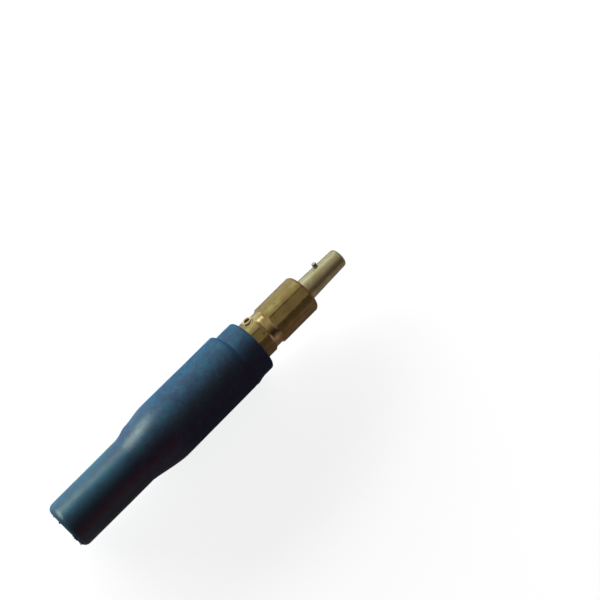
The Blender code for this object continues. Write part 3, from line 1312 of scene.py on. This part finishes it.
    def dress(self, contact: bpy.types.Object) -> None:
        """Give each face the finish of the tool that made it.

        Args:
            contact: The contact.
        """
        finishes = (FLAT_BRASS, TURNED_BRASS, PIN_BRASS)
        for finish in finishes:
            contact.data.materials.append(finish.material())
        back = AXIS.matrix().inverted()
        turn = back.to_3x3()
        for face in contact.data.polygons:
            middle, normal = back @ face.center, turn @ face.normal
            outside = math.hypot(middle.x, middle.y) > self.groove_radius * self.drawn_margin
            finish = TURNED_BRASS
            if middle.z > self.shoulder_margin:
                finish = PIN_BRASS
            elif middle.z > -self.chamfer[0] or (outside and abs(normal.z) < self.drawn_tilt):
                finish = FLAT_BRASS
            face.material_index = finishes.index(finish)

    def build(self) -> None:
        """Build the contact."""
        shape = turned(self.outline(), self.around)
        self.cut_flats(shape)
        contact = mesh_object("brass_contact", shape, AXIS.matrix())
        self.drill(contact)
        self.dress(contact)
        settle(contact)
        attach(contact, Body.CONTACT.value)
        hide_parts("contact_body")
        log_piece(contact)


@dataclass
class Strip:
    """The copper strip between the screws and the cable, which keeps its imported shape."""

    node: str = "pressure_strip"

    def build(self, nodes: dict[str, bpy.types.Object]) -> None:
        """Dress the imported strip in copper.

        Args:
            nodes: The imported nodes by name.
        """
        strip = nodes[self.node]
        strip.data.materials.clear()
        strip.data.materials.append(COPPER.material())
        log_piece(strip)


@dataclass
class Camera:
    """The camera at the photograph's viewing angle."""

    azimuth: float = -46.7
    elevation: float = 69.9
    distance: float = 0.621
    aim: tuple[float, float, float] = (0.06555, -0.00154, 0.01643)
    lens: float = 72.66
    sensor: float = 36.0
    clip: Point = (0.01, 50.0)

    def build(self) -> None:
        """Make the camera and look through it."""
        turn, lift = math.radians(self.azimuth), math.radians(self.elevation)
        back = Vector((math.sin(turn) * math.cos(lift), -math.cos(turn) * math.cos(lift), math.sin(lift)))
        data = bpy.data.cameras.new("photo_camera")
        data.lens = self.lens
        data.sensor_width = self.sensor
        camera = bpy.data.objects.new("photo_camera", data)
        camera.location = Vector(self.aim) + back * self.distance
        camera.rotation_euler = (-back).to_track_quat("-Z", "Y").to_euler()
        data.clip_start, data.clip_end = self.clip
        bpy.context.scene.collection.objects.link(camera)
        bpy.context.scene.camera = camera


@dataclass
class Lamp:
    """A soft rectangular lamp that shines at the plug from one side."""

    name: str
    bearing: float
    elevation: float
    distance: float
    width: float
    height: float
    power: float
    tint: Colour = (1.0, 1.0, 1.0)
    in_gloss: bool = True
    in_diffuse: bool = True
    only_on: tuple[str, ...] = ()

    def build(self) -> None:
        """Place the lamp, facing the plug, and shield it from the pieces that it isn't for."""
        turn, lift = math.radians(self.bearing), math.radians(self.elevation)
        out = Vector((math.sin(turn) * math.cos(lift), math.cos(turn) * math.cos(lift), math.sin(lift)))
        data = bpy.data.lights.new(self.name, "AREA")
        data.shape = "RECTANGLE"
        data.size, data.size_y = self.width, self.height
        data.energy = self.power
        data.color = self.tint
        lamp = bpy.data.objects.new(self.name, data)
        lamp.location = out * self.distance
        lamp.rotation_euler = (-out).to_track_quat("-Z", "Y").to_euler()
        lamp.visible_glossy = self.in_gloss
        lamp.visible_diffuse = self.in_diffuse
        bpy.context.scene.collection.objects.link(lamp)
        if self.only_on:
            shown = bpy.data.collections.new(f"{self.name}_pieces")
            for name in self.only_on:
                shown.objects.link(bpy.data.objects[name])
            lamp.light_linking.receiver_collection = shown


@dataclass
class Studio:
    """The pale floor, the sky and the lamps.

    The sky is bright on the lamps' side, grey overhead and dark on the far side, as a room with one
    large window is, so that the brass shows soft bands along its turned and drawn faces. Stops are
    places across the plug: metres on the floor, and from -1 to 1 in the sky. Lamps that suit the
    matt rubber alone shine on the sleeve alone.
    """

    floor_half: float = 12.0
    floor_drop: float = 0.0002
    floor_colour: Colour = (0.80, 0.80, 0.80)
    bounce_colour: Colour = (0.10, 0.045, 0.050)
    floor_glow: Colour = (0.830, 0.860, 0.848)
    gloss_reach: float = 0.12
    # Painted shadow and painted light on the floor, for gloss alone: dark beside the plug on the -Y side,
    # where its shadow falls, and bright on the lamps' side (+Y).
    painted_floor_light_in_gloss: Stops = (
        (-0.115, (0.240, 0.170, 0.135)),
        (-0.055, (0.200, 0.150, 0.135)),
        (-0.020, (0.070, 0.050, 0.052)),
        (0.010, (0.10, 0.10, 0.10)),
        (0.040, (0.40, 0.40, 0.39)),
        (0.060, (0.76, 0.77, 0.75)),
        (0.110, (0.86, 0.87, 0.86)),
    )
    backdrop: Colour = (1.0, 1.0, 1.0)
    fill: Colour = (0.055, 0.014, 0.030)
    sky: Stops = (
        (-0.98, (0.240, 0.170, 0.135)),
        (-0.90, (0.040, 0.026, 0.030)),
        (-0.72, (0.040, 0.026, 0.030)),
        (-0.50, (0.210, 0.178, 0.155)),
        (0.00, (0.560, 0.470, 0.400)),
        (0.44, (0.560, 0.510, 0.440)),
        (0.73, (0.600, 0.600, 0.560)),
        (0.97, (0.860, 0.880, 0.880)),
    )
    ahead_from: Point = (0.60, 0.95)
    ahead_share: Point = (0.0, 0.6)
    ahead_colour: Colour = (0.05, 0.04, 0.035)
    lamps: tuple[Lamp, ...] = (
        Lamp(
            name="window_gleam",
            bearing=6.0,
            elevation=34.0,
            distance=2.5,
            width=1.8,
            height=0.7,
            power=7.6,
            tint=(0.97, 1.0, 1.0),
            in_diffuse=False,
        ),
        Lamp(
            name="sleeve_gleam",
            bearing=-31.0,
            elevation=31.0,
            distance=2.5,
            width=1.8,
            height=1.2,
            power=94.0,
            tint=(0.90, 1.0, 0.76),
            in_diffuse=False,
            only_on=("rubber_sleeve",),
        ),
        Lamp(
            name="low_light",
            bearing=0.0,
            elevation=12.5,
            distance=2.2,
            width=4.0,
            height=0.9,
            power=71.0,
            tint=(0.97, 1.0, 1.0),
            in_gloss=False,
        ),
        Lamp(
            name="sleeve_veil",
            bearing=180.0,
            elevation=22.0,
            distance=2.2,
            width=3.0,
            height=1.0,
            power=14.0,
            tint=(1.0, 0.06, 0.01),
            in_gloss=False,
            only_on=("rubber_sleeve",),
        ),
    )

    def build_floor(self) -> None:
        """Lay the floor: white to the eye, with painted shadow and painted light in gloss (dark beside the
        plug on the -Y side and bright towards the lamps), and dark in the light that it sends back.
        """
        shape = bmesh.new()
        bmesh.ops.create_grid(shape, x_segments=1, y_segments=1, size=self.floor_half)
        floor = mesh_object("floor", shape, Matrix.Translation((0.0, 0.0, -self.floor_drop)))
        paint = Paint("pale_floor")
        paint.tree.nodes.remove(paint.shader)
        # The painted shadow and light that gloss sees on the floor.
        gloss = paint.ramp(paint.axis("Y"), self.gloss_reach, self.painted_floor_light_in_gloss)
        shown = paint.mix(paint.rays("Is Camera Ray"), gloss, self.floor_glow)
        pale = paint.add("BsdfDiffuse", color=self.floor_colour)
        glow = paint.add("Emission", color=shown)
        bounce = paint.add("BsdfDiffuse", color=self.bounce_colour)
        glowing = paint.add("AddShader")
        chosen = paint.add("MixShader", fac=paint.rays(*SEEN))
        wires = (
            (glowing.inputs[0], pale.outputs["BSDF"]),
            (glowing.inputs[1], glow.outputs["Emission"]),
            (chosen.inputs[1], bounce.outputs["BSDF"]),
            (chosen.inputs[2], glowing.outputs["Shader"]),
            (paint.tree.nodes["Material Output"].inputs["Surface"], chosen.outputs["Shader"]),
        )
        for socket, source in wires:
            paint.feed(socket, source)
        floor.data.materials.append(paint.material)

    def build_sky(self) -> None:
        """Make the sky, which is white to the eye and dimmer as a light than it is in gloss."""
        world = bpy.data.worlds.new("studio")
        bpy.context.scene.world = world
        world.use_nodes = True
        sky = Nodes(world.node_tree, "Generated")
        across = sky.ramp(sky.axis("Y"), 1.0, self.sky)
        ahead = sky.span(sky.axis("X"), self.ahead_from, self.ahead_share)
        in_gloss = sky.mix(ahead, across, self.ahead_colour)
        lit = sky.mix(sky.rays(*SEEN), self.fill, in_gloss)
        background = world.node_tree.nodes["Background"]
        sky.feed(background.inputs["Color"], sky.mix(sky.rays("Is Camera Ray"), lit, self.backdrop))
        sky.feed(background.inputs["Strength"], 1.0)

    def build(self) -> None:
        """Build the studio."""
        self.build_floor()
        self.build_sky()
        for lamp in self.lamps:
            lamp.build()
        bpy.context.scene.view_settings.view_transform = "Standard"


def main() -> None:
    """Dress the plug and light it."""
    logging.basicConfig(level=logging.INFO, format="%(name)s: %(message)s")
    for old in list(bpy.data.objects):
        bpy.data.objects.remove(old, do_unlink=True)
    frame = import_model()
    Camera().build()
    Sleeve().build()
    Contact().build()
    DOWEL.build()
    for screw in SCREWS:
        screw.build()
    Strip().build(frame["nodes"])
    Studio().build()


if __name__ == "__main__":
    main()
